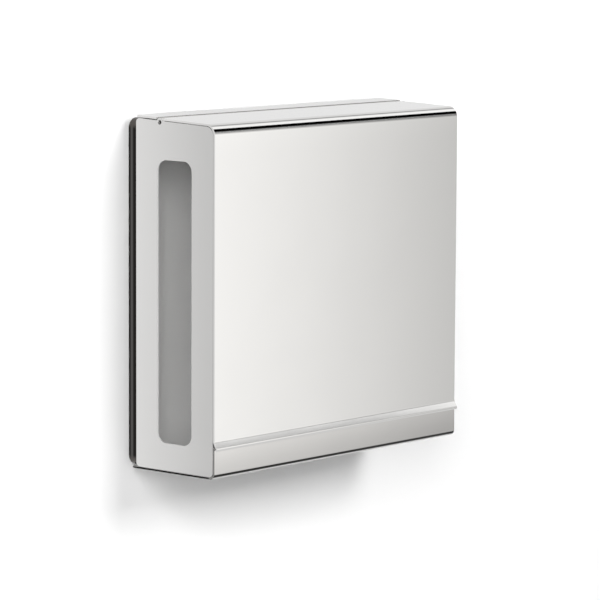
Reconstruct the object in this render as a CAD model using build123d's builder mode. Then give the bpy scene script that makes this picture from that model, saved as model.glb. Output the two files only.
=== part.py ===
from build123d import *

import os
from math import cos, radians, sin, tan

# Wall-mounted dispenser for folded paper towels, in stainless steel sheet.
#
# Frame: X across the width, +Y into the wall, +Z up, millimetres. The origin lies on the wall
# face, in the middle of the four wall screws, so the front of the dispenser faces -Y.

# ---------------------------------------------------------------- driving dimensions
# Overall size
width = 286.0               # over the two side panels
depth = 88.7                # wall to the front face of the flap
back_height = 265.2         # underside to the side panels' top edge, carried back to the wall
top_slope = 2.4             # degrees that the top falls towards the front
pattern_height = 132.0      # underside to the middle of the wall screws

# Sheet thicknesses
shell_sheet = 1.2           # wall plate, side panels, guides
tray_sheet = 1.2
flap_sheet = 1.5
strip_sheet = 1.5
bracket_sheet = 1.5
stiffener_sheet = 1.0

# Wall plate, a shallow pan that stands open to the front
plate_depth = 16.0
plate_corner = 8.0
plate_edge = 0.8            # rounding where the floor turns into the rim
plate_drop = 0.7            # from the side panels' top edge down to the plate's top
screw_spacing_x = 120.0
screw_spacing_z = 160.0
screw_hole_radius = 2.75

# Side panels
panel_setback = 9.3         # wall to the panels' rear edge
panel_rear_corner = 3.0
panel_gap = 0.4             # shadow gap between a panel and the folded outlet tray
window_setback = 31.5       # wall to the window
window_height_above = 22.3  # underside to the window's lower edge
window_top_margin = 30.4    # panels' top edge, carried back to the wall, down to the window
window_width = 34.1
window_corner = 8.0
front_flange_width = 11.0
front_flange_from = 8.0     # underside to the lower end of the front flange
front_flange_top_margin = 22.2      # its upper end below the top, to clear the flap's bend
foot_flange_width = 7.4
foot_flange_end = 12.0      # foot flange stops this far short of the panel's front edge

# Flap: top, bend, front and lip in one folded sheet
flap_bend = 8.5             # outer radius of the bend between top and front
flap_top_gap = 0.4          # between the flap and the panels' top edge
flap_front_gap = 0.1        # between the flap and the panels' front edge
lip_above_apron = 4.5       # apron's upper edge to the start of the flared lip
lip_fall = 5.5              # height of the flare
lip_proud = 3.2             # how far the flare stands out, before its crest is rounded
lip_bend = 3.0
lip_crest_bend = 1.8        # outer radius where the flare turns back in
lip_return = 1.3            # how far the lip's edge comes back in
lip_return_fall = 1.7
lip_edge = 0.6              # rounding of the sheet's lower edge
eye_clearance = 0.03        # radial, between the rolled eye and its rod

# Hinge
hinge_setback = 33.4        # wall to the hinge axis
rod_radius = 1.5
rod_clearance = 0.08        # radial, where the rod turns in the brackets and washers
ear_hole_clearance = 0.2    # radial, between the rod and the panels' ears
rod_recess = 1.1            # rod end below the side panel's outer face
washer_thickness = 0.5
axial_gap = 0.15            # each end of the eye to its washer, and washer to bracket
ear_gap = 0.5               # between a panel's ear and the cut-back corner of the flap
seam_gap = 0.3              # between the flap's upright top and the fixed strip, when open

# Hinge brackets
bracket_rear = 17.5         # wall to the bracket's rear edge
bracket_front = 46.0
bracket_drop = 16.0         # hinge axis down to the bracket's lower edge
bracket_corner = 4.0
arm_length = 30.0           # along X, under the fixed strip
arm_gap = 0.6               # between the arm and the flap's eye

# Fixed strip of the top, on welded studs
strip_gap = 0.9             # spacer thickness, between the brackets' arms and the strip
strip_corner = 2.5
stud_radius = 2.0
stud_length = 7.0
stud_pitch = 14.0
stud_edge = 8.5             # side panel's inner face to the outer stud
stud_clearance = 0.2
spacer_radius = 4.5
nut_flats = 7.0
nut_height = 3.2
nut_clearance = 0.05

# Outlet tray: bottom and front apron in one folded sheet
tray_setback = 1.0          # wall to the tray's rear edge
tray_corner = 8.0
tray_bend = 4.5             # outer radius of the bend between bottom and apron
apron_height = 23.9

# Outlet and its moulded bezel
outlet_inset = 30.0         # side panels' outer face to the outlet
outlet_width = 38.0
outlet_setback = 46.0       # wall to the middle of the outlet
bezel_wall = 2.0
bezel_flange = 8.0
bezel_flange_height = 2.4
bezel_drop = 1.2            # bezel wall below the tray
bezel_fit = 0.1
bezel_rounding = 1.0

# Stack guides
guide_inset = 18.0          # side panels' outer face to the fences
guide_height = 15.0
guide_foot = 8.8
guide_bend = 2.4            # outer radius
guide_rear = 20.0           # wall to the rear end of a guide
guide_front = 74.0
guide_corner = 5.0

# Rivets
rivet_radius = 2.0
rivet_head_radius = 3.2
rivet_head_height = 1.2
rivet_dome = 0.9
rivet_clearance = 0.05
panel_rivet_inset = 4.2     # side panel's inner face to its rivets
panel_rivet_rear = 24.0
panel_rivet_pitch = 23.0
panel_rivets = 3
guide_rivet_inset = 5.6     # fence to the guide's rivets
guide_rivet_pitch = 36.0

# Flap stiffener, a hat section behind the lower part of the flap
stiffener_inset = 25.0      # side panels' outer face to the stiffener's end
stiffener_above_lip = 9.6   # start of the lip to the stiffener's lower edge
stiffener_foot = 6.0
stiffener_slant = 2.5
stiffener_crown = 10.0
stiffener_depth = 6.0
stiffener_bend = 1.6

# ---------------------------------------------------------------- derived places
base = -pattern_height
top_at_wall = base + back_height
half_width = width / 2
inner_half = half_width - shell_sheet
slope = radians(top_slope)
tray_top = base + tray_sheet
window_height = back_height - window_height_above - window_top_margin
front_flange_height = back_height - front_flange_from - front_flange_top_margin
lip_from = apron_height + lip_above_apron
outlet_length = width - 2 * outlet_inset
guide_spacing = width - 2 * guide_inset
stiffener_length = width - 2 * stiffener_inset
stiffener_from = lip_from + stiffener_above_lip

top_plane = Plane(origin=(0, 0, top_at_wall), x_dir=(1, 0, 0), z_dir=(0, -sin(slope), cos(slope)))


def height_over_top(setback, rise):
    """Z at a distance from the wall, on the line that lies rise above the panels' top edge."""
    return top_at_wall - setback * tan(slope) + rise / cos(slope)


eye_radius = rod_radius + eye_clearance + flap_sheet
flap_rise = flap_top_gap + flap_sheet
hinge_y = -hinge_setback
hinge_z = height_over_top(hinge_setback, flap_rise - eye_radius)
hinge_axis = (hinge_y, hinge_z)
ear_radius = eye_radius
panel_front = depth - flap_sheet - flap_front_gap
panel_top_corner = flap_bend - flap_sheet
panel_foot_corner = tray_bend - tray_sheet
strip_front = hinge_setback - eye_radius - seam_gap
bracket_inner = inner_half - bracket_sheet
eye_half = bracket_inner - washer_thickness - 2 * axial_gap


def mirrored(piece):
    """The same piece on the other side of the dispenser's middle plane."""
    with BuildPart() as other:
        mirror(piece, about=Plane.YZ)
    return other.part


# ---------------------------------------------------------------- wall plate
plate_top = top_at_wall - plate_drop
plate_height = plate_top - tray_top
plate_middle = (plate_top + tray_top) / 2

with BuildPart() as wall_plate:
    with BuildSketch(Plane.XZ):
        with Locations((0, plate_middle)):
            RectangleRounded(2 * inner_half, plate_height, plate_corner)
    extrude(amount=plate_depth)
    fillet(wall_plate.faces().sort_by(Axis.Y)[-1].edges(), plate_edge)
    with BuildSketch(Plane.XZ.offset(shell_sheet)):
        with Locations((0, plate_middle)):
            RectangleRounded(
                2 * (inner_half - shell_sheet),
                plate_height - 2 * shell_sheet,
                plate_corner - shell_sheet,
            )
    extrude(amount=plate_depth - shell_sheet, mode=Mode.SUBTRACT)
    with BuildSketch(Plane.XZ):
        with GridLocations(screw_spacing_x, screw_spacing_z, 2, 2):
            Circle(screw_hole_radius)
    extrude(amount=shell_sheet, mode=Mode.SUBTRACT)

# ---------------------------------------------------------------- side panels
panel_foot = tray_top + panel_gap
foot_flange_rear = plate_depth + panel_gap
foot_flange_front = panel_front - foot_flange_end
panel_rivet_spots = [
    (-inner_half + panel_rivet_inset, -panel_rivet_rear - i * panel_rivet_pitch)
    for i in range(panel_rivets)
]

with BuildPart() as side_panel_left:
    with BuildSketch(Plane.YZ.offset(-half_width)) as panel_outline:
        with BuildLine():
            Polyline(
                (-panel_setback, panel_foot),
                (-panel_front, panel_foot),
                (-panel_front, height_over_top(panel_front, 0)),
                (-panel_setback, height_over_top(panel_setback, 0)),
                close=True,
            )
        make_face()
        fillet(panel_outline.vertices().group_by(Axis.Y)[0].sort_by(Axis.X)[:1], panel_foot_corner)
        fillet(panel_outline.vertices().sort_by(Axis.Y)[-2:].sort_by(Axis.X)[:1], panel_top_corner)
        fillet(panel_outline.vertices().sort_by(Axis.X)[-2:], panel_rear_corner)
        with Locations(hinge_axis):
            Circle(ear_radius)
            Circle(rod_radius + ear_hole_clearance, mode=Mode.SUBTRACT)
        with Locations(
            (-window_setback - window_width / 2, base + window_height_above + window_height / 2)
        ):
            RectangleRounded(window_width, window_height, window_corner, mode=Mode.SUBTRACT)
    extrude(amount=shell_sheet)
    with BuildSketch(Plane.YZ.offset(-inner_half)):
        with Locations((-panel_front, base + front_flange_from)):
            Rectangle(shell_sheet, front_flange_height, align=(Align.MIN, Align.MIN))
    extrude(amount=front_flange_width)
    with BuildSketch(Plane.YZ.offset(-inner_half)):
        with Locations((-foot_flange_front, tray_top)):
            Rectangle(
                foot_flange_front - foot_flange_rear, shell_sheet, align=(Align.MIN, Align.MIN)
            )
    extrude(amount=foot_flange_width)
    with BuildSketch(Plane.XY.offset(tray_top)):
        with Locations(*panel_rivet_spots):
            Circle(rivet_radius + rivet_clearance)
    extrude(amount=shell_sheet, mode=Mode.SUBTRACT)

side_panel_right = mirrored(side_panel_left.part)

# ---------------------------------------------------------------- hinge brackets
arm_front = hinge_setback - eye_radius - arm_gap
arm_middle = (arm_front + bracket_rear) / 2
stud_spots = [
    (side * (inner_half - stud_edge - i * stud_pitch), -arm_middle)
    for side in (-1, 1)
    for i in range(2)
]

with BuildPart() as hinge_bracket_left:
    with BuildSketch(Plane.YZ.offset(-inner_half)) as bracket_outline:
        with BuildLine():
            Polyline(
                (-bracket_rear, hinge_z - bracket_drop),
                (-bracket_front, hinge_z - bracket_drop),
                (-bracket_front, height_over_top(bracket_front, 0)),
                (-bracket_rear, height_over_top(bracket_rear, 0)),
                close=True,
            )
        make_face()
        fillet(bracket_outline.vertices().sort_by(Axis.Y)[:2], bracket_corner)
        with Locations(hinge_axis):
            Circle(ear_radius)
            Circle(rod_radius + rod_clearance, mode=Mode.SUBTRACT)
    extrude(amount=bracket_sheet)
    with BuildSketch(top_plane):
        with Locations((-inner_half, -arm_front)):
            Rectangle(arm_length, arm_front - bracket_rear, align=(Align.MIN, Align.MIN))
    extrude(amount=-bracket_sheet)
    with BuildSketch(top_plane):
        with Locations(*stud_spots[:2]):
            Circle(stud_radius + stud_clearance)
    extrude(amount=-bracket_sheet, mode=Mode.SUBTRACT)

hinge_bracket_right = mirrored(hinge_bracket_left.part)

# ---------------------------------------------------------------- fixed strip of the top
with BuildPart() as top_strip:
    with BuildSketch(top_plane.offset(strip_gap)) as strip_outline:
        with Locations((0, -strip_front)):
            Rectangle(width, strip_front - panel_setback, align=(Align.CENTER, Align.MIN))
        fillet(strip_outline.vertices().sort_by(Axis.Y)[-2:], strip_corner)
    extrude(amount=strip_sheet)
    with BuildSketch(top_plane.offset(strip_gap)):
        with Locations(*stud_spots):
            Circle(stud_radius)
    extrude(amount=-stud_length)

with BuildPart() as strip_spacers:
    with BuildSketch(top_plane):
        with Locations(*stud_spots):
            Circle(spacer_radius)
            Circle(stud_radius + stud_clearance, mode=Mode.SUBTRACT)
    extrude(amount=strip_gap)

with BuildPart() as strip_nuts:
    with BuildSketch(top_plane.offset(-bracket_sheet)):
        with Locations(*stud_spots):
            RegularPolygon(nut_flats / 2, 6, major_radius=False)
            Circle(stud_radius + nut_clearance, mode=Mode.SUBTRACT)
    extrude(amount=-nut_height)

# ---------------------------------------------------------------- hinge rod and washers
with BuildPart() as hinge_rod:
    with BuildSketch(Plane.YZ):
        with Locations(hinge_axis):
            Circle(rod_radius)
    extrude(amount=half_width - rod_recess, both=True)

with BuildPart() as hinge_washer_left:
    with BuildSketch(Plane.YZ.offset(-bracket_inner + axial_gap)):
        with Locations(hinge_axis):
            Circle(eye_radius)
            Circle(rod_radius + rod_clearance, mode=Mode.SUBTRACT)
    extrude(amount=washer_thickness)

hinge_washer_right = mirrored(hinge_washer_left.part)

# ---------------------------------------------------------------- flap
eye_tangent = Vector(hinge_y - eye_radius * sin(slope), hinge_z + eye_radius * cos(slope))
lip_start = Vector(-depth, base + lip_from)
lip_crest = Vector(-depth - lip_proud, base + lip_from - lip_fall)
lip_end = lip_crest + Vector(lip_return, -lip_return_fall)

with BuildPart() as front_flap:
    with BuildSketch(Plane.YZ):
        with BuildLine():
            FilletPolyline(
                eye_tangent,
                (-depth, height_over_top(depth, flap_rise)),
                lip_start,
                lip_crest,
                lip_end,
                radius=[flap_bend, lip_bend, lip_crest_bend],
            )
            offset(amount=flap_sheet, side=Side.LEFT)
        make_face()
    extrude(amount=half_width, both=True)
    fillet(front_flap.edges().filter_by(Axis.X).sort_by(Axis.Z)[:2], lip_edge)
    with BuildSketch(Plane.YZ):
        with Locations(hinge_axis):
            Circle(eye_radius)
    extrude(amount=eye_half, both=True)
    with BuildSketch(Plane.YZ):
        with Locations(hinge_axis):
            Circle(rod_radius + eye_clearance)
    extrude(amount=eye_half, both=True, mode=Mode.SUBTRACT)
    with BuildSketch(top_plane.offset(flap_rise)):
        for side in (-1, 1):
            with Locations((side * (half_width + eye_half) / 2, -hinge_setback)):
                Rectangle(half_width - eye_half, 2 * (ear_radius + ear_gap))
    extrude(amount=-flap_sheet, mode=Mode.SUBTRACT)

# ---------------------------------------------------------------- flap stiffener
stiffener_y = -(depth - flap_sheet)
stiffener_low = base + stiffener_from
stiffener_profile = [
    (stiffener_y, stiffener_low),
    (stiffener_y, stiffener_low + stiffener_foot),
    (stiffener_y + stiffener_depth, stiffener_low + stiffener_foot + stiffener_slant),
    (
        stiffener_y + stiffener_depth,
        stiffener_low + stiffener_foot + stiffener_slant + stiffener_crown,
    ),
    (stiffener_y, stiffener_low + stiffener_foot + 2 * stiffener_slant + stiffener_crown),
    (stiffener_y, stiffener_low + 2 * stiffener_foot + 2 * stiffener_slant + stiffener_crown),
]

with BuildPart() as flap_stiffener:
    with BuildSketch(Plane.YZ):
        with BuildLine():
            FilletPolyline(*stiffener_profile, radius=stiffener_bend)
            offset(amount=stiffener_sheet, side=Side.RIGHT)
        make_face()
    extrude(amount=stiffener_length / 2, both=True)

# ---------------------------------------------------------------- stack guides
fence_half = guide_spacing / 2
guide_rivet_x = fence_half + guide_rivet_inset
guide_middle = (guide_rear + guide_front) / 2
guide_rivet_spots = [
    (side * guide_rivet_x, -guide_middle + end * guide_rivet_pitch / 2)
    for side in (-1, 1)
    for end in (-1, 1)
]

with BuildPart() as stack_guide_left:
    with BuildSketch(Plane.XZ.offset(guide_rear)):
        with BuildLine():
            FilletPolyline(
                (-fence_half - guide_foot, tray_top),
                (-fence_half, tray_top),
                (-fence_half, tray_top + guide_height),
                radius=guide_bend,
            )
            offset(amount=shell_sheet, side=Side.LEFT)
        make_face()
    extrude(amount=guide_front - guide_rear)
    fillet(stack_guide_left.edges().filter_by(Axis.X).group_by(Axis.Z)[-1], guide_corner)
    with BuildSketch(Plane.XY.offset(tray_top)):
        with Locations(*guide_rivet_spots[:2]):
            Circle(rivet_radius + rivet_clearance)
    extrude(amount=shell_sheet, mode=Mode.SUBTRACT)

stack_guide_right = mirrored(stack_guide_left.part)

# ---------------------------------------------------------------- outlet tray
with BuildPart() as outlet_tray:
    with BuildSketch(Plane.YZ):
        with BuildLine():
            FilletPolyline(
                (-tray_setback, base),
                (-depth, base),
                (-depth, base + apron_height),
                radius=tray_bend,
            )
            offset(amount=tray_sheet, side=Side.RIGHT)
        make_face()
    extrude(amount=half_width, both=True)
    fillet(outlet_tray.edges().filter_by(Axis.Z).sort_by(Axis.Y)[-2:], tray_corner)
    with BuildSketch(Plane.XY.offset(base)):
        with Locations((0, -outlet_setback)):
            SlotOverall(
                outlet_length + 2 * (bezel_wall + bezel_fit),
                outlet_width + 2 * (bezel_wall + bezel_fit),
            )
        with Locations(*panel_rivet_spots, *guide_rivet_spots):
            Circle(rivet_radius + rivet_clearance)
        with Locations(*[(-x, y) for x, y in panel_rivet_spots]):
            Circle(rivet_radius + rivet_clearance)
    extrude(amount=tray_sheet, mode=Mode.SUBTRACT)

with BuildPart() as outlet_bezel:
    with BuildSketch(Plane.XY.offset(base - bezel_drop)):
        with Locations((0, -outlet_setback)):
            SlotOverall(outlet_length + 2 * bezel_wall, outlet_width + 2 * bezel_wall)
    extrude(amount=bezel_drop + tray_sheet)
    with BuildSketch(Plane.XY.offset(tray_top)):
        with Locations((0, -outlet_setback)):
            SlotOverall(outlet_length + 2 * bezel_flange, outlet_width + 2 * bezel_flange)
    extrude(amount=bezel_flange_height)
    with BuildSketch(Plane.XY.offset(base - bezel_drop)):
        with Locations((0, -outlet_setback)):
            SlotOverall(outlet_length, outlet_width)
    extrude(amount=bezel_drop + tray_sheet + bezel_flange_height, mode=Mode.SUBTRACT)
    fillet(outlet_bezel.faces().sort_by(Axis.Z)[-1].edges(), bezel_rounding)


# ---------------------------------------------------------------- rivets
def rivet_group(spots):
    """Rivets through the tray and one sheet on it, with a domed head below and above."""
    with BuildPart() as group:
        with BuildSketch(Plane.XY.offset(base)):
            with Locations(*spots):
                Circle(rivet_radius)
        extrude(amount=tray_sheet + shell_sheet)
        for level, direction in ((base, -1), (tray_top + shell_sheet, 1)):
            with BuildSketch(Plane.XY.offset(level)):
                with Locations(*spots):
                    Circle(rivet_head_radius)
            extrude(amount=direction * rivet_head_height)
        fillet(group.faces().filter_by(Axis.Z).group_by(Axis.Z)[0].edges(), rivet_dome)
        fillet(group.faces().filter_by(Axis.Z).group_by(Axis.Z)[-1].edges(), rivet_dome)
    return group.part


tray_rivets_left = rivet_group(panel_rivet_spots)
tray_rivets_right = mirrored(tray_rivets_left)
guide_rivets = rivet_group(guide_rivet_spots)

# ---------------------------------------------------------------- files
pieces = {
    "wall_plate": wall_plate.part,
    "side_panel_left": side_panel_left.part,
    "side_panel_right": side_panel_right,
    "top_strip": top_strip.part,
    "strip_spacers": strip_spacers.part,
    "strip_nuts": strip_nuts.part,
    "hinge_bracket_left": hinge_bracket_left.part,
    "hinge_bracket_right": hinge_bracket_right,
    "hinge_washer_left": hinge_washer_left.part,
    "hinge_washer_right": hinge_washer_right,
    "hinge_rod": hinge_rod.part,
    "front_flap": front_flap.part,
    "flap_stiffener": flap_stiffener.part,
    "outlet_tray": outlet_tray.part,
    "outlet_bezel": outlet_bezel.part,
    "stack_guide_left": stack_guide_left.part,
    "stack_guide_right": stack_guide_right,
    "guide_rivets": guide_rivets,
    "tray_rivets_left": tray_rivets_left,
    "tray_rivets_right": tray_rivets_right,
}

os.makedirs("parts", exist_ok=True)
for name, piece in pieces.items():
    piece.label = name
    export_step(piece, f"parts/{name}.step")
print(f"hinge axis at Y {hinge_y:.3f}, Z {hinge_z:.3f}")
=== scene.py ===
"""Looks of a wall-mounted steel dispenser for folded paper towels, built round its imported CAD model."""

import logging
from dataclasses import dataclass, replace
from enum import Enum
from math import cos, radians, sin

import bpy
from mathutils import Matrix, Vector


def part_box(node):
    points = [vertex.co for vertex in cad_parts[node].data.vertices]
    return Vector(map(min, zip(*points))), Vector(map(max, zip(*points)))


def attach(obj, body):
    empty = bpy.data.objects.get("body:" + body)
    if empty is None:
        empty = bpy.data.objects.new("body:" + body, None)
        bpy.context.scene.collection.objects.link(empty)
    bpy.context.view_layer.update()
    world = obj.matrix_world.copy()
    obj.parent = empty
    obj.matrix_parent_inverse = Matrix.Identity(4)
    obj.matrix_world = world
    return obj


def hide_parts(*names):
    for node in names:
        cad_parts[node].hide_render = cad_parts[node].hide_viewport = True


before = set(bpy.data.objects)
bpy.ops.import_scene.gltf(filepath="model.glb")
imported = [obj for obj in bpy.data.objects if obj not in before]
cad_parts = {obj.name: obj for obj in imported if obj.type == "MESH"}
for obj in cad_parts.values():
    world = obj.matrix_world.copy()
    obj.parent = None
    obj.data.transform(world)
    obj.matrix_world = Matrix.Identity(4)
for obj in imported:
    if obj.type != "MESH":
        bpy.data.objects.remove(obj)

log = logging.getLogger("dispenser")
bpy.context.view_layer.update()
MM = 0.001
NOISE_MEAN = 0.5
WHITE = (1.0, 1.0, 1.0, 1.0)

Socket = bpy.types.NodeSocket
Tree = bpy.types.NodeTree


class Slot(Enum):
    """Material slots of the record."""

    SATIN = "satin_steel"
    POLISHED = "polished_steel"
    PLATED = "plated_steel"
    NYLON = "white_nylon"
    BEZEL = "grey_plastic"


# ---------------------------------------------------------------- node helpers


def node(tree: Tree, kind: str, **values: object) -> bpy.types.Node:
    """Adds a node and fills its sockets or settings.

    Args:
        tree: node tree that gets the node.
        kind: Blender's name of the node type.
        values: settings of the node by attribute, or sockets by name with spaces as underscores.

    Returns:
        The new node.
    """
    made = tree.nodes.new(kind)
    for name, value in values.items():
        if hasattr(made, name):
            setattr(made, name, value)
        else:
            feed(tree, made.inputs[name.replace("_", " ")], value)
    return made


def feed(tree: Tree, socket: Socket, value: object) -> None:
    """Links a socket to another node's output, or sets its default.

    Args:
        tree: node tree that holds both nodes.
        socket: input to fill.
        value: an output socket, a number or a tuple.
    """
    if isinstance(value, bpy.types.NodeSocket):
        tree.links.new(value, socket)
    else:
        socket.default_value = value


def sum_of(tree: Tree, operation: str, first: object, second: object, clamp: bool = False) -> Socket:
    """Puts two values through a Math node.

    Args:
        tree: node tree that gets the node.
        operation: Math node operation.
        first: first value, a number or an output socket.
        second: second value.
        clamp: whether the result is kept between 0 and 1.

    Returns:
        The Math node's output.
    """
    made = tree.nodes.new("ShaderNodeMath")
    made.operation = operation
    made.use_clamp = clamp
    feed(tree, made.inputs[0], first)
    feed(tree, made.inputs[1], second)
    return made.outputs[0]


def ramp(tree: Tree, fac: Socket, stops: list[tuple[float, float]]) -> Socket:
    """Maps a value through a grey colour ramp.

    Args:
        tree: node tree that gets the ramp.
        fac: value from 0 to 1.
        stops: pairs of position and grey level.

    Returns:
        The ramp's colour output.
    """
    made = node(tree, "ShaderNodeValToRGB", Fac=fac)
    elements = made.color_ramp.elements
    while len(elements) < len(stops):
        elements.new(0.5)
    for element, (position, level) in zip(elements, stops):
        element.position = position
        element.color = (level, level, level, 1.0)
    return made.outputs["Color"]


def spread(
    tree: Tree, value: Socket, low: float, high: float, at_low: float = 0.0, at_high: float = 1.0
) -> Socket:
    """Maps a range of values evenly, and holds them beyond its ends.

    Args:
        tree: node tree that gets the node.
        value: value to map.
        low: where the range starts.
        high: where it ends.
        at_low: result at its start.
        at_high: result at its end.

    Returns:
        The mapped value.
    """
    made = node(tree, "ShaderNodeMapRange", Value=value)
    for label, number in (
        ("From Min", low), ("From Max", high), ("To Min", at_low), ("To Max", at_high)
    ):
        made.inputs[label].default_value = number
    return made.outputs[0]


def new_group(name: str, inputs: dict[str, float], outputs: list[str]) -> tuple[Tree, Socket, Socket]:
    """Makes an empty shader node group.

    Args:
        name: name of the group.
        inputs: float inputs with their defaults, after the Vector input that each group has.
        outputs: names of the float outputs.

    Returns:
        The group, its input node and its output node.
    """
    tree = bpy.data.node_groups.new(name, "ShaderNodeTree")
    tree.interface.new_socket("Vector", in_out="INPUT", socket_type="NodeSocketVector")
    for label, value in inputs.items():
        socket = tree.interface.new_socket(label, in_out="INPUT", socket_type="NodeSocketFloat")
        socket.default_value = value
    for label in outputs:
        tree.interface.new_socket(label, in_out="OUTPUT", socket_type="NodeSocketFloat")
    return tree, tree.nodes.new("NodeGroupInput"), tree.nodes.new("NodeGroupOutput")


# ---------------------------------------------------------------- shared effects


@dataclass(frozen=True)
class BrushedGrain:
    """Fine straight scratches of a satin finish, drawn out along X.

    Attributes:
        stretch: how many times longer than wide a scratch is.
        pitch: scratches per metre across the grain, about.
        detail: finer layers in the scratches.
        broad_scale: patches of broad unevenness per metre, about.
        broad_detail: finer layers in those patches.
        fine_share: share of the scratches in the roughness.
        broad_share: share of the patches in the roughness.
    """

    stretch: float = 60.0
    pitch: float = 5200.0
    detail: float = 3.0
    broad_scale: float = 22.0
    broad_detail: float = 2.0
    fine_share: float = 0.6
    broad_share: float = 0.4

    def build(self) -> Tree:
        """Builds the group.

        Returns:
            The group, with a height and a roughness offset as its outputs.
        """
        tree, given, made = new_group("brushed grain", {"Across": 1.0}, ["Height", "Offset"])
        across = Vector((self.pitch / self.stretch, self.pitch, self.pitch))
        vector = given.outputs["Vector"]
        scaled = node(tree, "ShaderNodeMapping", Vector=vector, Scale=across)
        lines = node(
            tree, "ShaderNodeTexNoise", Vector=scaled.outputs[0], Scale=1.0, Detail=self.detail
        )
        broad = node(
            tree,
            "ShaderNodeTexNoise",
            Vector=vector,
            Scale=self.broad_scale,
            Detail=self.broad_detail,
        )
        feed(tree, made.inputs["Height"], lines.outputs["Fac"])
        mixed = sum_of(tree, "MULTIPLY", lines.outputs["Fac"], self.fine_share)
        wide = sum_of(tree, "MULTIPLY", broad.outputs["Fac"], self.broad_share)
        centred = sum_of(tree, "SUBTRACT", sum_of(tree, "ADD", mixed, wide), NOISE_MEAN)
        feed(tree, made.inputs["Offset"], sum_of(tree, "MULTIPLY", centred, given.outputs["Across"]))
        return tree


@dataclass(frozen=True)
class HandlingMarks:
    """Soft cloudy smears that cleaning and fingers leave on steel.

    Attributes:
        size: smears per metre, about.
        detail: finer layers in a smear.
        roughness: strength of those layers.
        distortion: how far a smear is drawn out of shape.
        start: noise level at which a smear starts to show.
        full: noise level at which it shows fully.
    """

    size: float = 9.0
    detail: float = 5.0
    roughness: float = 0.62
    distortion: float = 0.8
    start: float = 0.42
    full: float = 0.72

    def build(self) -> Tree:
        """Builds the group.

        Returns:
            The group, with a mask from 0 to 1 as its output.
        """
        tree, given, made = new_group("handling marks", {"Amount": 1.0}, ["Mask"])
        clouds = node(
            tree,
            "ShaderNodeTexNoise",
            Vector=given.outputs["Vector"],
            Scale=self.size,
            Detail=self.detail,
            Roughness=self.roughness,
            Distortion=self.distortion,
        )
        soft = spread(tree, clouds.outputs["Fac"], self.start, self.full)
        feed(tree, made.inputs["Mask"], sum_of(tree, "MULTIPLY", soft, given.outputs["Amount"]))
        return tree


@dataclass(frozen=True)
class InnerFace:
    """Mask of the faces that look into the housing, which keep the dull mill finish.

    Attributes:
        centre: the point that an inner face looks towards.
        squash: weight of each axis in that look; little up and down, so that the lip counts as outer.
    """

    centre: tuple[float, float, float] = (0.0, -0.045, 0.0)
    squash: tuple[float, float, float] = (1.0, 1.0, 0.25)

    def build(self) -> Tree:
        """Builds the group.

        Returns:
            The group, with a mask from 0 to 1 as its output.
        """
        tree, given, made = new_group("inner face", {"Strength": 1.0}, ["Mask"])
        facing = tree.nodes.new("ShaderNodeNewGeometry")
        own = node(
            tree,
            "ShaderNodeVectorTransform",
            vector_type="NORMAL",
            convert_from="WORLD",
            convert_to="OBJECT",
            Vector=facing.outputs["Normal"],
        )
        outward = node(tree, "ShaderNodeVectorMath", operation="SUBTRACT")
        feed(tree, outward.inputs[0], given.outputs["Vector"])
        feed(tree, outward.inputs[1], self.centre)
        squat = node(tree, "ShaderNodeVectorMath", operation="MULTIPLY")
        feed(tree, squat.inputs[0], outward.outputs[0])
        feed(tree, squat.inputs[1], self.squash)
        along = node(tree, "ShaderNodeVectorMath", operation="DOT_PRODUCT")
        feed(tree, along.inputs[0], own.outputs[0])
        feed(tree, along.inputs[1], squat.outputs[0])
        inward = sum_of(tree, "LESS_THAN", along.outputs["Value"], 0.0)
        feed(tree, made.inputs["Mask"], sum_of(tree, "MULTIPLY", inward, given.outputs["Strength"]))
        return tree


@dataclass
class Effects:
    """The effect groups, built once for all finishes.

    Attributes:
        grain: brushed grain.
        marks: handling marks.
        inner: mask of the inner faces.
    """

    grain: Tree
    marks: Tree
    inner: Tree

    @classmethod
    def made(cls) -> "Effects":
        """Builds every group."""
        return cls(BrushedGrain().build(), HandlingMarks().build(), InnerFace().build())


def effect(tree: Tree, group: Tree, vector: Socket, **values: float) -> bpy.types.Node:
    """Places an effect group in a material.

    Args:
        tree: the material's node tree.
        group: the effect's group.
        vector: coordinates that the effect reads.
        values: the group's own inputs.

    Returns:
        The group node.
    """
    made = tree.nodes.new("ShaderNodeGroup")
    made.node_tree = group
    feed(tree, made.inputs["Vector"], vector)
    for name, value in values.items():
        feed(tree, made.inputs[name], value)
    return made


def blank_material(name: str) -> tuple[bpy.types.Material, Tree, bpy.types.Node, Socket]:
    """Makes a material with a Principled shader.

    Args:
        name: name of the material.

    Returns:
        The material, its tree, its Principled node and its object coordinates.
    """
    material = bpy.data.materials.new(name)
    material.use_nodes = True
    tree = material.node_tree
    shader = tree.nodes["Principled BSDF"]
    place = tree.nodes.new("ShaderNodeTexCoord")
    return material, tree, shader, place.outputs["Object"]


def own_place(tree: Tree) -> tuple[Socket, bpy.types.Node]:
    """Finds the object coordinates that a material already has, and takes them apart.

    Args:
        tree: the material's node tree.

    Returns:
        The coordinates, and the node with their X, Y and Z.
    """
    place = next(each for each in tree.nodes if each.type == "TEX_COORD").outputs["Object"]
    return place, node(tree, "ShaderNodeSeparateXYZ", Vector=place)


def mixed_colour(tree: Tree, fac: object, first: object, second: object) -> Socket:
    """Mixes two colours.

    Args:
        tree: the material's node tree.
        fac: how much of the second colour shows.
        first: colour at 0.
        second: colour at 1.

    Returns:
        The mixed colour.
    """
    made = node(tree, "ShaderNodeMix", data_type="RGBA")
    feed(tree, made.inputs["Factor"], fac)
    colours = [socket for socket in made.inputs if socket.type == "RGBA"]
    feed(tree, colours[0], first)
    feed(tree, colours[1], second)
    return next(socket for socket in made.outputs if socket.type == "RGBA")


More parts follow.
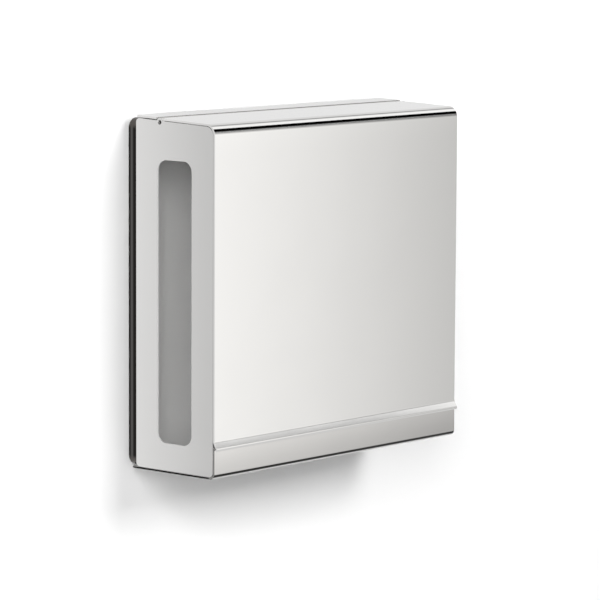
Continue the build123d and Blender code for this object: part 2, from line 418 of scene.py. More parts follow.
def mixed_shader(tree: Tree, fac: object, first: Socket, second: Socket) -> Socket:
    """Mixes two shaders.

    Args:
        tree: node tree that holds them.
        fac: how much of the second shader shows.
        first: shader at 0.
        second: shader at 1.

    Returns:
        The mixed shader.
    """
    made = tree.nodes.new("ShaderNodeMixShader")
    feed(tree, made.inputs[0], fac)
    tree.links.new(first, made.inputs[1])
    tree.links.new(second, made.inputs[2])
    return made.outputs[0]


# ---------------------------------------------------------------- finishes


@dataclass(frozen=True)
class Steel:
    """Stainless steel with a brushed grain.

    Attributes:
        name: name of the material.
        colour: colour of the clean metal.
        dulled: colour under handling marks.
        roughness: roughness of the clean metal.
        grain: strength of the grain's bump.
        grain_depth: height of that bump.
        uneven: how far the grain changes the roughness.
        marks: strength of the handling marks.
        marks_roughness: how much rougher a handling mark is.
        turned: whether the grain runs up and down instead of across.
        milled: how far the inner faces keep the dull mill finish.
        milled_colour: colour of the mill finish.
        milled_loss: how much less metallic the mill finish looks.
        milled_roughness: how much rougher it is.
    """

    name: str
    colour: tuple[float, float, float, float]
    dulled: tuple[float, float, float, float]
    roughness: float = 0.17
    grain: float = 0.02
    grain_depth: float = 0.02 * MM
    uneven: float = 0.16
    marks: float = 0.35
    marks_roughness: float = 0.06
    turned: bool = False
    milled: float = 0.0
    milled_colour: tuple[float, float, float, float] = (0.765, 0.762, 0.755, 1.0)
    milled_loss: float = 0.7
    milled_roughness: float = 0.35

    def build(self, effects: Effects) -> bpy.types.Material:
        """Builds the material.

        Args:
            effects: the shared effect groups.

        Returns:
            The material.
        """
        material, tree, shader, place = blank_material(self.name)
        turn = node(tree, "ShaderNodeMapping", Vector=place)
        if self.turned:
            turn.inputs["Rotation"].default_value = (0.0, radians(90), 0.0)
        grain = effect(tree, effects.grain, turn.outputs[0], Across=self.uneven)
        marks = effect(tree, effects.marks, place, Amount=self.marks)
        inner = effect(tree, effects.inner, place, Strength=self.milled)
        metal = sum_of(tree, "MULTIPLY", inner.outputs["Mask"], -self.milled_loss)
        feed(tree, shader.inputs["Metallic"], sum_of(tree, "ADD", metal, 1.0, clamp=True))
        colour = mixed_colour(tree, marks.outputs["Mask"], self.colour, self.dulled)
        colour = mixed_colour(tree, inner.outputs["Mask"], colour, self.milled_colour)
        feed(tree, shader.inputs["Base Color"], colour)
        rough = sum_of(tree, "ADD", grain.outputs["Offset"], self.roughness)
        worn = sum_of(tree, "MULTIPLY", marks.outputs["Mask"], self.marks_roughness)
        worn = sum_of(tree, "ADD", rough, worn)
        dull = sum_of(tree, "MULTIPLY", inner.outputs["Mask"], self.milled_roughness)
        feed(tree, shader.inputs["Roughness"], sum_of(tree, "ADD", worn, dull, clamp=True))
        bump = node(
            tree,
            "ShaderNodeBump",
            Height=grain.outputs["Height"],
            Strength=self.grain,
            Distance=self.grain_depth,
        )
        feed(tree, shader.inputs["Normal"], bump.outputs[0])
        return material


@dataclass(frozen=True)
class RimPaintedReflectionSteel(Steel):
    """Steel of the wall plate, with a painted dark reflection and a painted highlight line on its rim
    beside the wall.

    Attributes:
        rim: colour of the painted dark reflection on the rim.
        painted_highlight_stripe: colour of the painted highlight line along the rim's middle.
        painted_corner_reflection: colour of the painted reflection on the rim round the plate's corners.
        half_width: half the plate's width.
        half_height: half the plate's height.
        centre: height of the plate's middle.
        radius: radius of the plate's corners.
        reach: width of the painted dark reflection, inwards from the plate's outline.
        middle: distance of the painted highlight line from the wall.
        stripe_core: half the width over which the line keeps its full tone.
        stripe_fade: distance from its middle at which it is gone.
        corner_share: share of the corners' radius over which the rim takes the corners' painted
            reflection.
    """

    rim: tuple[float, float, float, float] = (0.014, 0.013, 0.012, 1.0)
    painted_highlight_stripe: tuple[float, float, float, float] = (0.085, 0.083, 0.08, 1.0)
    painted_corner_reflection: tuple[float, float, float, float] = (0.085, 0.078, 0.072, 1.0)
    half_width: float = 0.14
    half_height: float = 0.13
    centre: float = 0.0
    radius: float = 8.0 * MM
    reach: float = 1.4 * MM
    middle: float = 3.6 * MM
    stripe_core: float = 0.3 * MM
    stripe_fade: float = 1.9 * MM
    corner_share: float = 0.35

    def build(self, effects: Effects) -> bpy.types.Material:
        """Builds the material, and paints the rim's dark reflection and highlight line by their place.

        Args:
            effects: the shared effect groups.

        Returns:
            The material.
        """
        material = super().build(effects)
        tree = material.node_tree
        shader = tree.nodes["Principled BSDF"]
        place, parts = own_place(tree)
        # Painted reflection on the rim: a dark tone, a paler highlight line at a set distance from the
        # wall, and its own tone round the corners.
        inner_x, inner_z = self.half_width - self.radius, self.half_height - self.radius
        aside = self.past(tree, parts.outputs["X"], inner_x)
        upright = self.past(tree, sum_of(tree, "SUBTRACT", parts.outputs["Z"], self.centre), inner_z)
        spot = node(tree, "ShaderNodeCombineXYZ", X=aside, Y=upright)
        away = node(tree, "ShaderNodeVectorMath", operation="LENGTH")
        feed(tree, away.inputs[0], spot.outputs[0])
        rim = sum_of(tree, "GREATER_THAN", away.outputs["Value"], self.radius - self.reach)
        inner = effect(tree, effects.inner, place, Strength=1.0)
        outer = sum_of(tree, "SUBTRACT", 1.0, inner.outputs["Mask"])
        rim = sum_of(tree, "MULTIPLY", rim, outer)
        both = sum_of(tree, "MINIMUM", aside, upright)
        corner_reflection_mask = spread(tree, both, 0.0, self.corner_share * self.radius)
        depth = sum_of(tree, "ABSOLUTE", sum_of(tree, "ADD", parts.outputs["Y"], self.middle), 0.0)
        highlight_line_mask = spread(tree, depth, self.stripe_core, self.stripe_fade, 1.0, 0.0)
        tone = mixed_colour(tree, highlight_line_mask, self.rim, self.painted_highlight_stripe)
        tone = mixed_colour(tree, corner_reflection_mask, tone, self.painted_corner_reflection)
        steel = shader.inputs["Base Color"].links[0].from_socket
        feed(tree, shader.inputs["Base Color"], mixed_colour(tree, rim, steel, tone))
        return material

    @staticmethod
    def past(tree: Tree, value: Socket, start: float) -> Socket:
        """Measures how far a coordinate lies beyond a distance from the middle.

        Args:
            tree: the material's node tree.
            value: the coordinate, from the middle.
            start: the distance.

        Returns:
            The length beyond it, or 0 within it.
        """
        size = sum_of(tree, "ABSOLUTE", value, 0.0)
        return sum_of(tree, "MAXIMUM", sum_of(tree, "SUBTRACT", size, start), 0.0)


@dataclass(frozen=True)
class EdgePaintedShadeSteel(Steel):
    """Steel of the tray, with painted shade on its sheared edges and a painted dark reflection line along
    its bend.

    Attributes:
        cut: colour of the painted shade on the edges and of the painted dark reflection line.
        half_width: half the sheet's width.
        skin: depth of the painted shade at the sides.
        level: upright share of a face's normal, below which the face is a sheared edge that takes painted
            shade.
        front: distance from the wall within which every upright face takes painted shade.
        apron: distance from the wall at which the apron's own side edges start.
        apron_painted_shade: strength of the painted shade on those edges.
        bend: distance from the wall beyond which the painted dark reflection line along the bend can lie.
        line: downward share of the normal where that line starts and ends.
    """

    cut: tuple[float, float, float, float] = (0.018, 0.017, 0.016, 1.0)
    half_width: float = 0.143
    skin: float = 0.25 * MM
    level: float = 0.5
    front: float = 0.06
    apron: float = 0.083
    apron_painted_shade: float = 0.55
    bend: float = 0.08
    line: tuple[float, float] = (0.20, 0.66)

    def build(self, effects: Effects) -> bpy.types.Material:
        """Builds the material, and paints shade on the sheared edges and a dark reflection line along the
        bend.

        Args:
            effects: the shared effect groups.

        Returns:
            The material.
        """
        material = super().build(effects)
        tree = material.node_tree
        shader = tree.nodes["Principled BSDF"]
        parts = own_place(tree)[1]
        # Painted shade on the sheared edges and the side seams, and a painted dark reflection line along
        # the bend, all in one dark colour.
        aside = sum_of(tree, "ABSOLUTE", parts.outputs["X"], 0.0)
        sides = sum_of(tree, "GREATER_THAN", aside, self.half_width - self.skin)
        facing = tree.nodes.new("ShaderNodeNewGeometry")
        turned = node(tree, "ShaderNodeSeparateXYZ", Vector=facing.outputs["Normal"])
        upright = sum_of(
            tree, "LESS_THAN", sum_of(tree, "ABSOLUTE", turned.outputs["Z"], 0.0), self.level
        )
        behind = sum_of(tree, "GREATER_THAN", parts.outputs["Y"], -self.front)
        rear_painted_shade = sum_of(tree, "MULTIPLY", upright, behind)
        floor = sum_of(tree, "GREATER_THAN", parts.outputs["Y"], -self.apron)
        seam_painted_shade = sum_of(tree, "MULTIPLY", sides, self.apron_painted_shade)
        edge = sum_of(tree, "MAXIMUM", sum_of(tree, "MULTIPLY", sides, floor), rear_painted_shade)
        edge = sum_of(tree, "MAXIMUM", edge, seam_painted_shade)
        dip = sum_of(tree, "MULTIPLY", turned.outputs["Z"], -1.0)
        started = sum_of(tree, "GREATER_THAN", dip, self.line[0])
        ended = sum_of(tree, "LESS_THAN", dip, self.line[1])
        line = sum_of(tree, "MULTIPLY", started, ended)
        line = sum_of(tree, "MULTIPLY", line, sum_of(tree, "LESS_THAN", parts.outputs["Y"], -self.bend))
        edge = sum_of(tree, "MAXIMUM", edge, line)
        steel = shader.inputs["Base Color"].links[0].from_socket
        feed(tree, shader.inputs["Base Color"], mixed_colour(tree, edge, steel, self.cut))
        return material


@dataclass(frozen=True)
class Moulding:
    """Moulded plastic with a fine spark-eroded texture.

    Attributes:
        name: name of the material.
        colour: main colour.
        pale: colour of its paler specks.
        roughness: roughness.
        texture: strength of the texture's bump.
        texture_scale: grains of the texture per metre, about.
        texture_detail: finer layers in it.
        texture_depth: height of its bump.
        specks: strength of the paler specks.
        specks_roughness: how much rougher a speck is.
    """

    name: str
    colour: tuple[float, float, float, float]
    pale: tuple[float, float, float, float]
    roughness: float = 0.5
    texture: float = 0.25
    texture_scale: float = 2600.0
    texture_detail: float = 2.0
    texture_depth: float = 0.05 * MM
    specks: float = 0.5
    specks_roughness: float = 0.12

    def build(self, effects: Effects) -> bpy.types.Material:
        """Builds the material.

        Args:
            effects: the shared effect groups.

        Returns:
            The material.
        """
        material, tree, shader, place = blank_material(self.name)
        marks = effect(tree, effects.marks, place, Amount=self.specks)
        grit = node(
            tree,
            "ShaderNodeTexNoise",
            Vector=place,
            Scale=self.texture_scale,
            Detail=self.texture_detail,
        )
        tone = mixed_colour(tree, marks.outputs["Mask"], self.colour, self.pale)
        feed(tree, shader.inputs["Base Color"], tone)
        varied = sum_of(tree, "MULTIPLY", marks.outputs["Mask"], self.specks_roughness)
        feed(tree, shader.inputs["Roughness"], sum_of(tree, "ADD", varied, self.roughness))
        bump = node(
            tree,
            "ShaderNodeBump",
            Height=grit.outputs["Fac"],
            Strength=self.texture,
            Distance=self.texture_depth,
        )
        feed(tree, shader.inputs["Normal"], bump.outputs[0])
        return material


# ---------------------------------------------------------------- sheet-metal pieces


def select_only(obj: bpy.types.Object) -> None:
    """Makes one object the only selected and the active one.

    Args:
        obj: the object.
    """
    bpy.ops.object.select_all(action="DESELECT")
    obj.select_set(True)
    bpy.context.view_layer.objects.active = obj


def give(obj: bpy.types.Object, material: bpy.types.Material) -> None:
    """Puts one material in every slot of an object.

    Args:
        obj: the object.
        material: the material.
    """
    if not obj.material_slots:
        obj.data.materials.append(material)
    for place in obj.material_slots:
        place.material = material


@dataclass
class SheetPiece:
    """A folded sheet whose cut edges are broken, as deburring leaves them.

    Attributes:
        name: the CAD node that it stands for.
        body: the body that it rides on.
        slot: the record's material slot; not used.
        edge: width of the broken edge.
        rounds: facets across the broken edge.
        sharp: turn at an edge, in degrees, from which it is broken.
        smooth: turn at an edge, in degrees, up to which it is shaded smooth.
        flat: turn between facets, in degrees, up to which they are one face.
        weld: distance within which the CAD mesh's corners are one point.
        flat_weight: how much a large face outweighs a small one in the normals, up to 100.
    """

    name: str
    body: str
    slot: Slot
    edge: float = 0.18 * MM
    rounds: int = 2
    sharp: float = 40.0
    smooth: float = 60.0
    flat: float = 0.4
    weld: float = 0.001 * MM
    flat_weight: int = 100

    def build(self, material: bpy.types.Material) -> bpy.types.Object:
        """Copies the CAD sheet, merges its facets and breaks its edges.

        Args:
            material: the sheet's finish.

        Returns:
            The new piece.
        """
        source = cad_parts[self.name]
        piece = bpy.data.objects.new(f"{self.name}_sheet", source.data.copy())
        bpy.context.scene.collection.objects.link(piece)
        piece.matrix_world = Matrix.Identity(4)
        select_only(piece)
        bpy.ops.object.mode_set(mode="EDIT")
        bpy.ops.mesh.select_all(action="SELECT")
        bpy.ops.mesh.remove_doubles(threshold=self.weld)
        bpy.ops.mesh.dissolve_limited(angle_limit=radians(self.flat), delimit={"NORMAL"})
        bpy.ops.object.mode_set(mode="OBJECT")
        bevel = piece.modifiers.new("broken edge", "BEVEL")
        bevel.width = self.edge
        bevel.segments = self.rounds
        bevel.limit_method = "ANGLE"
        bevel.angle_limit = radians(self.sharp)
        bpy.ops.object.modifier_apply(modifier=bevel.name)
        bpy.ops.object.shade_smooth_by_angle(angle=radians(self.smooth))
        flats = piece.modifiers.new("flat faces stay flat", "WEIGHTED_NORMAL")
        flats.weight = self.flat_weight
        flats.keep_sharp = True
        bpy.ops.object.modifier_apply(modifier=flats.name)
        give(piece, material)
        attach(piece, self.body)
        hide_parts(self.name)
        log.info("%s rides on %s", piece.name, self.body)
        return piece


@dataclass
class KeptNodes:
    """CAD nodes that stay as they are and only get a finish.

    Attributes:
        names: the nodes.
        slot: their material slot, named in the log.
    """

    names: tuple[str, ...]
    slot: Slot

    def dress(self, material: bpy.types.Material) -> None:
        """Gives every node the finish.

        Args:
            material: the finish.
        """
        for name in self.names:
            give(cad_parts[name], material)
            log.info("%s keeps its shape, %s", name, self.slot.value)


# ---------------------------------------------------------------- sub-assemblies


@dataclass
class Flap:
    """The lift-up front with its stiffener and rod.

    Attributes:
        body: the body that the pieces ride on.
        steel: finish of the flap's sheet.
        plated: finish of its stiffener.
        rod_painted_shade: near-black colour of the hinge rod, painted shade that keeps its end in the
            panels' slots dark.
    """

    body: str = "flap"
    steel: Steel = Steel(
        "flap steel",
        colour=(0.75, 0.745, 0.735, 1.0),
        dulled=(0.725, 0.72, 0.71, 1.0),
        roughness=0.07,
        turned=True,
        milled=1.0,
    )
    plated: Steel = Steel(
        "plated flap steel",
        colour=(0.62, 0.62, 0.61, 1.0),
        dulled=(0.5, 0.5, 0.49, 1.0),
        roughness=0.3,
        grain=0.1,
    )
    # Near-black painted shade for the hinge rod, so that its end in the side panels' slots stays as dark
    # as a shaded hole.
    rod_painted_shade: Steel = Steel(
        "rod steel painted shade",
        colour=(0.05, 0.048, 0.046, 1.0),
        dulled=(0.09, 0.085, 0.08, 1.0),
        roughness=0.35,
        grain=0.1,
    )

    def build(self, effects: Effects) -> None:
        """Builds and dresses the flap.

        Args:
            effects: the shared effect groups.
        """
        SheetPiece("front_flap", self.body, Slot.SATIN).build(self.steel.build(effects))
        KeptNodes(("flap_stiffener",), Slot.PLATED).dress(self.plated.build(effects))
        KeptNodes(("hinge_rod",), Slot.PLATED).dress(self.rod_painted_shade.build(effects))


@dataclass
class Housing:
    """Wall plate, side panels and the fixed strip of the top.

    Attributes:
        body: the body that the pieces ride on.
        steel: finish of the side panels.
        strip: finish of the fixed strip.
        plate: finish of the wall plate, whose outline is filled in from the plate itself.
    """

    body: str = "housing"
    steel: Steel = Steel(
        "housing steel",
        colour=(0.66, 0.655, 0.648, 1.0),
        dulled=(0.61, 0.606, 0.60, 1.0),
        roughness=0.16,
        turned=True,
        milled=1.0,
    )
    strip: Steel = Steel(
        "strip steel",
        colour=(0.70, 0.695, 0.688, 1.0),
        dulled=(0.66, 0.655, 0.648, 1.0),
        roughness=0.12,
    )
    plate: RimPaintedReflectionSteel = RimPaintedReflectionSteel(
        "wall plate steel",
        colour=(0.56, 0.555, 0.55, 1.0),
        dulled=(0.52, 0.515, 0.51, 1.0),
        roughness=0.24,
        milled=1.0,
    )

    def build(self, effects: Effects) -> None:
        """Builds and dresses the housing.

        Args:
            effects: the shared effect groups.
        """
        steel = self.steel.build(effects)
        for name in ("side_panel_left", "side_panel_right"):
            SheetPiece(name, self.body, Slot.SATIN).build(steel)
        SheetPiece("top_strip", self.body, Slot.SATIN).build(self.strip.build(effects))
        low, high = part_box("wall_plate")
        plate = replace(
            self.plate,
            half_width=high[0],
            half_height=(high[2] - low[2]) / 2,
            centre=(high[2] + low[2]) / 2,
        )
        SheetPiece("wall_plate", self.body, Slot.POLISHED).build(plate.build(effects))


@dataclass
class Outlet:
    """Tray, bezel, stack guides and their rivets.

    Attributes:
        body: the body that the pieces ride on.
        steel: finish of the tray.
        guide: finish of the stack guides.
        plated: finish of the rivets.
        plastic: finish of the bezel.
    """

    body: str = "housing"
    steel: Steel = EdgePaintedShadeSteel(
        "tray steel",
        colour=(0.66, 0.65, 0.638, 1.0),
        dulled=(0.61, 0.602, 0.592, 1.0),
        roughness=0.09,
        milled=1.0,
    )
    guide: Steel = Steel(
        "guide steel",
        colour=(0.66, 0.65, 0.638, 1.0),
        dulled=(0.61, 0.602, 0.592, 1.0),
        roughness=0.28,
    )
    plated: Steel = Steel(
        "rivet steel",
        colour=(0.6, 0.6, 0.59, 1.0),
        dulled=(0.46, 0.46, 0.45, 1.0),
        roughness=0.32,
        grain=0.1,
    )
    plastic: Moulding = Moulding(
        "bezel plastic", (0.075, 0.078, 0.082, 1.0), (0.11, 0.113, 0.118, 1.0), 0.42, 0.3
    )

    def build(self, effects: Effects) -> None:
        """Builds and dresses the outlet.

        Args:
            effects: the shared effect groups.
        """
        SheetPiece("outlet_tray", self.body, Slot.SATIN).build(self.steel.build(effects))
        guide = self.guide.build(effects)
        for name in ("stack_guide_left", "stack_guide_right"):
            SheetPiece(name, self.body, Slot.SATIN).build(guide)
        rivets = ("guide_rivets", "tray_rivets_left", "tray_rivets_right")
        KeptNodes(rivets, Slot.PLATED).dress(self.plated.build(effects))
        KeptNodes(("outlet_bezel",), Slot.BEZEL).dress(self.plastic.build(effects))


@dataclass
class Hinge:
    """Brackets, washers, and the strip's spacers and nuts.

    Attributes:
        body: the body that the pieces ride on.
        plated: finish of the brackets, spacers and nuts.
        nylon: finish of the washers.
        edge: width of the brackets' broken edges.
    """

    body: str = "housing"
    plated: Steel = Steel(
        "plated bracket steel",
        colour=(0.62, 0.62, 0.61, 1.0),
        dulled=(0.48, 0.48, 0.47, 1.0),
        roughness=0.3,
        grain=0.1,
    )
    nylon: Moulding = Moulding(
        "washer nylon", (0.8, 0.79, 0.75, 1.0), (0.72, 0.70, 0.65, 1.0), 0.45, 0.15
    )
    edge: float = 0.15 * MM

    def build(self, effects: Effects) -> None:
        """Builds and dresses the hinge's fixed pieces.

        Args:
            effects: the shared effect groups.
        """
        plated = self.plated.build(effects)
        for name in ("hinge_bracket_left", "hinge_bracket_right"):
            SheetPiece(name, self.body, Slot.PLATED, edge=self.edge).build(plated)
        KeptNodes(("strip_spacers", "strip_nuts"), Slot.PLATED).dress(plated)
        washers = ("hinge_washer_left", "hinge_washer_right")
        KeptNodes(washers, Slot.NYLON).dress(self.nylon.build(effects))


# ---------------------------------------------------------------- studio


@dataclass(frozen=True)
class SoftBox:
    """A square lamp that lights the object but isn't mirrored in it.

    Attributes:
        name: name of the lamp.
        place: where it hangs.
        size: side of the soft box.
        power: its power in watts.
    """

    name: str
    place: tuple[float, float, float]
    size: float
    power: float

    def build(self) -> bpy.types.Object:
        """Hangs the lamp, turned towards the middle of the wall screws.

        Returns:
            The lamp.
        """
        data = bpy.data.lights.new(self.name, "AREA")
        data.size = self.size
        data.energy = self.power
        lamp = bpy.data.objects.new(self.name, data)
        bpy.context.scene.collection.objects.link(lamp)
        lamp.visible_glossy = False
        lamp.location = self.place
        lamp.rotation_euler = (-Vector(self.place)).to_track_quat("-Z", "Y").to_euler()
        return lamp


@dataclass
class Studio:
    """Wall, floor, lamps and surroundings.

    Attributes:
        wall_size: side of the square wall.
        floor_drop: how far the floor lies below the wall screws.
        wall_gap: space behind the wall plate.
        paint: colour of the wall and the floor.
        reflected: half the width of the wall over which its reflection is graded.
        reflection: grey levels of the wall's reflection across that width.
        reflection_up: grey levels of its reflection up the same length.
        reflection_level: strength of the wall's reflection at level 1.
        card_place: middle of the reflector in front of the flap.
        card_size: its width and height.
        card_across: grey levels across it.
        card_up: grey levels up it.
        card_level: its strength at level 1.
        card_tint: its colour.
        cover_across: how solid it is across its width.
        cover_up: how solid it is up its height.
        flag_place: middle of the black flag above the card.
        flag_size: its length and width.
        flag_turn: its turn about X, in degrees.
        flag_foot: height of its lower edge.
        flag_fade: height over which it fades to black from that edge.
        flag_edge: its strength at the lower edge.
        room: grey levels of the world in reflections, from straight down to straight up.
        room_level: strength of the world in reflections.
        daylight: strength of the world's diffuse light.
        lamps: the soft boxes.
    """

    wall_size: float = 5.0
    floor_drop: float = 1.6
    wall_gap: float = 0.3 * MM
    paint: tuple[float, float, float, float] = (0.86, 0.86, 0.86, 1.0)
    reflected: float = 0.8
    reflection: tuple[tuple[float, float], ...] = (
        (0.0, 0.80), (0.337, 0.66), (0.356, 0.70), (0.406, 0.90), (0.437, 0.73), (1.0, 0.73)
    )
    reflection_up: tuple[tuple[float, float], ...] = (
        (0.0, 0.9), (0.40, 0.9), (0.41, 1.0), (0.69, 1.0), (0.72, 0.46), (0.87, 0.46),
        (0.93, 1.0), (1.0, 1.0),
    )
    reflection_level: float = 1.2
    card_place: tuple[float, float, float] = (0.56, -0.55, -0.08)
    card_size: tuple[float, float] = (0.84, 0.90)
    card_across: tuple[tuple[float, float], ...] = (
        (0.0, 0.90), (0.20, 1.0), (0.27, 0.96), (0.40, 0.86), (0.53, 0.74), (0.62, 0.655),
        (0.70, 0.585), (1.0, 0.56),
    )
    card_up: tuple[tuple[float, float], ...] = (
        (0.0, 0.69), (0.315, 0.71), (0.345, 0.935), (0.65, 0.935), (0.70, 1.0), (0.735, 0.99),
        (0.80, 0.82), (0.91, 0.42), (1.0, 0.22),
    )
    card_level: float = 1.337
    card_tint: tuple[float, float, float, float] = (1.0, 0.995, 0.985, 1.0)
    cover_across: tuple[tuple[float, float], ...] = ((0.0, 0.0), (0.2, 1.0), (0.8, 1.0), (1.0, 0.0))
    cover_up: tuple[tuple[float, float], ...] = ((0.0, 0.0), (0.24, 1.0), (1.0, 1.0))
    flag_place: tuple[float, float, float] = (0.42, -0.329, 0.380)
    flag_size: tuple[float, float] = (0.86, 0.224)
    flag_turn: float = 40.5
    flag_foot: float = 0.307
    flag_fade: float = 0.04
    flag_edge: float = 0.25
    room: tuple[tuple[float, float], ...] = (
        (0.0, 0.7), (0.44, 0.68), (0.56, 0.83), (0.66, 1.0), (1.0, 1.0)
    )
    room_level: float = 1.2
    daylight: float = 0.32
    lamps: tuple[SoftBox, ...] = (
        SoftBox("key", (0.50, -2.15, 1.08), 1.0, 39.0),
        SoftBox("fill", (-1.9, -1.45, 0.85), 1.3, 50.0),
    )

    def surface(self, name: str, place: Vector, turn: float) -> bpy.types.Object:
        """Adds one large plane.

        Args:
            name: name of the plane.
            place: its middle.
            turn: turn about X, in degrees.

        Returns:
            The plane.
        """
        bpy.ops.mesh.primitive_plane_add(
            size=self.wall_size, location=place, rotation=(radians(turn), 0.0, 0.0)
        )
        plane = bpy.context.active_object
        plane.name = name
        bpy.ops.object.transform_apply(location=True, rotation=True, scale=True)
        return plane

    def reflector(
        self, name: str, place: tuple[float, float, float], size: tuple[float, float], turn: float
    ) -> bpy.types.Object:
        """Adds one plane that only reflections will see.

        Args:
            name: name of the plane.
            place: its middle.
            size: its two sides.
            turn: turn about X, in degrees.

        Returns:
            The plane.
        """
        bpy.ops.mesh.primitive_plane_add(
            size=1.0, location=place, rotation=(radians(turn), 0.0, 0.0)
        )
        plane = bpy.context.active_object
        plane.name = name
        plane.scale = (size[0], size[1], 1.0)
        bpy.ops.object.transform_apply(location=True, rotation=True, scale=True)
        return plane

    @staticmethod
    def bare(name: str) -> tuple[bpy.types.Material, Tree, bpy.types.Node]:
        """Makes a material with no shader yet.

        Args:
            name: name of the material.

        Returns:
            The material, its tree and its object coordinates, taken apart.
        """
        material = bpy.data.materials.new(name)
        material.use_nodes = True
        tree = material.node_tree
        tree.nodes.clear()
        place = tree.nodes.new("ShaderNodeTexCoord")
        return material, tree, node(tree, "ShaderNodeSeparateXYZ", Vector=place.outputs["Object"])

    @staticmethod
    def glossy(tree: Tree) -> Socket:
        """Adds a Light Path node and returns its glossy output."""
        return tree.nodes.new("ShaderNodeLightPath").outputs["Is Glossy Ray"]

    @staticmethod
    def close(tree: Tree, shader: Socket, kind: str = "ShaderNodeOutputMaterial") -> None:
        """Links the finished shader to an output node of the kind named."""
        tree.links.new(shader, tree.nodes.new(kind).inputs["Surface"])

    def painted(self) -> bpy.types.Material:
        """Builds the matt paint, which mirrors as a graded wall and can't be seen from behind.

        Returns:
            The material.
        """
        material, tree, parts = self.bare("studio paint")
        matt = node(tree, "ShaderNodeBsdfDiffuse", Color=self.paint)
        tones = []
        for axis, stops in (("X", self.reflection), ("Z", self.reflection_up)):
            along = spread(tree, parts.outputs[axis], -self.reflected, self.reflected)
            tones.append(ramp(tree, along, list(stops)))
        level = sum_of(tree, "MULTIPLY", tones[0], tones[1])
        shown = node(tree, "ShaderNodeEmission", Color=WHITE)
        feed(tree, shown.inputs["Strength"], sum_of(tree, "MULTIPLY", level, self.reflection_level))
        front = mixed_shader(tree, self.glossy(tree), matt.outputs[0], shown.outputs[0])
        clear = tree.nodes.new("ShaderNodeBsdfTransparent")
        side = tree.nodes.new("ShaderNodeNewGeometry")
        self.close(tree, mixed_shader(tree, side.outputs["Backfacing"], front, clear.outputs[0]))
        return material

    def flag(self) -> None:
        """Hangs the black flag that draws the dark line along the flap's bend, in reflections only."""
        plane = self.reflector("studio_flag", self.flag_place, self.flag_size, self.flag_turn)
        material, tree, parts = self.bare("black flag")
        top = self.flag_foot + self.flag_fade
        fade = spread(tree, parts.outputs["Z"], self.flag_foot, top, self.flag_edge, 0.0)
        black = node(tree, "ShaderNodeEmission", Color=WHITE)
        feed(tree, black.inputs["Strength"], fade)
        clear = tree.nodes.new("ShaderNodeBsdfTransparent")
        seen = self.glossy(tree)
        self.close(tree, mixed_shader(tree, seen, clear.outputs[0], black.outputs[0]))
        give(plane, material)

    def card(self) -> None:
        """Hangs the graded reflector that the flap's front mirrors, seen in reflections only."""
        plane = self.reflector("studio_card", self.card_place, self.card_size, 90.0)
        material, tree, parts = self.bare("graded card")
        tones, covers = [], []
        for axis, middle, side, stops, solid in (
            ("X", self.card_place[0], self.card_size[0], self.card_across, self.cover_across),
            ("Z", self.card_place[2], self.card_size[1], self.card_up, self.cover_up),
        ):
            along = spread(tree, parts.outputs[axis], middle - side / 2, middle + side / 2)
            tones.append(ramp(tree, along, list(stops)))
            covers.append(ramp(tree, along, list(solid)))
        tone = sum_of(tree, "MULTIPLY", tones[0], tones[1])
        shown = node(tree, "ShaderNodeEmission", Color=self.card_tint)
        feed(tree, shown.inputs["Strength"], sum_of(tree, "MULTIPLY", tone, self.card_level))
        clear = tree.nodes.new("ShaderNodeBsdfTransparent")
        cover = sum_of(tree, "MULTIPLY", covers[0], covers[1])
        seen = sum_of(tree, "MULTIPLY", cover, self.glossy(tree))
        self.close(tree, mixed_shader(tree, seen, clear.outputs[0], shown.outputs[0]))
        give(plane, material)

    def surroundings(self) -> None:
        """Builds the world: even for diffuse light, graded for gloss and white for the camera."""
        world = bpy.data.worlds.new("studio")
        bpy.context.scene.world = world
        world.use_nodes = True
        tree = world.node_tree
        tree.nodes.clear()
        place = tree.nodes.new("ShaderNodeTexCoord")
        parts = node(tree, "ShaderNodeSeparateXYZ", Vector=place.outputs["Generated"])
        height = spread(tree, parts.outputs["Z"], -1.0, 1.0)
        gloss = node(tree, "ShaderNodeBackground", Strength=self.room_level)
        feed(tree, gloss.inputs["Color"], ramp(tree, height, list(self.room)))
        even = node(tree, "ShaderNodeBackground", Color=WHITE, Strength=self.daylight)
        white = node(tree, "ShaderNodeBackground", Color=WHITE, Strength=1.0)
        path = tree.nodes.new("ShaderNodeLightPath")
        lit = mixed_shader(tree, path.outputs["Is Glossy Ray"], even.outputs[0], gloss.outputs[0])
        camera, through = path.outputs["Is Camera Ray"], path.outputs["Is Transmission Ray"]
        direct = sum_of(tree, "MAXIMUM", camera, through)
        shown = mixed_shader(tree, direct, lit, white.outputs[0])
        self.close(tree, shown, "ShaderNodeOutputWorld")

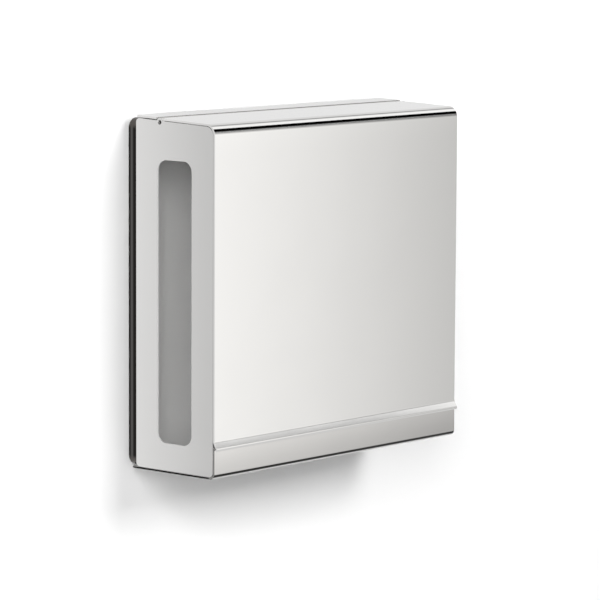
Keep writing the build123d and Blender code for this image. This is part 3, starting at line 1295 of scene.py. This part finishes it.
    def build(self) -> None:
        """Builds the studio."""
        paint = self.painted()
        give(self.surface("studio_wall", Vector((0.0, self.wall_gap, 0.0)), 90.0), paint)
        floor_place = Vector((0.0, -self.wall_size / 2 + self.wall_gap, -self.floor_drop))
        give(self.surface("studio_floor", floor_place, 0.0), paint)
        for lamp in self.lamps:
            lamp.build()
        self.card()
        self.flag()
        self.surroundings()
        bpy.context.scene.view_settings.view_transform = "Standard"
        log.info("studio built")


@dataclass
class Camera:
    """The camera, by its place and the way that it looks.

    Attributes:
        place: its position.
        bearing: turn from facing the wall, in degrees.
        tilt: how far it looks down, in degrees.
        roll: turn about its line of sight, in degrees.
        lens: focal length in millimetres.
        sensor: width of the sensor in millimetres.
        near: distance from which it sees.
        far: distance up to which it sees.
    """

    place: tuple[float, float, float] = (-2.03868, -1.80924, 0.31230)
    bearing: float = 49.18
    tilt: float = 6.896
    roll: float = 0.28
    lens: float = 210.18
    sensor: float = 36.0
    near: float = 0.1
    far: float = 50.0

    def build(self) -> None:
        """Adds the camera and makes it the scene's."""
        turn, dip, roll = radians(self.bearing), radians(self.tilt), radians(self.roll)
        ahead = Vector((sin(turn) * cos(dip), cos(turn) * cos(dip), -sin(dip)))
        level = Vector((cos(turn), -sin(turn), 0.0))
        upright = level.cross(ahead)
        right = cos(roll) * level + sin(roll) * upright
        up = -sin(roll) * level + cos(roll) * upright
        data = bpy.data.cameras.new("camera")
        data.lens = self.lens
        data.sensor_width = self.sensor
        data.clip_start = self.near
        data.clip_end = self.far
        camera = bpy.data.objects.new("camera", data)
        bpy.context.scene.collection.objects.link(camera)
        axes = Matrix((right, up, -ahead)).transposed().to_4x4()
        camera.matrix_world = Matrix.Translation(self.place) @ axes
        bpy.context.scene.camera = camera


def main() -> None:
    """Builds the studio, then each sub-assembly in order."""
    logging.basicConfig(level=logging.INFO, format="%(name)s: %(message)s")
    Camera().build()
    Studio().build()
    effects = Effects.made()
    for assembly in (Housing(), Hinge(), Outlet(), Flap()):
        assembly.build(effects)


if __name__ == "__main__":
    main()
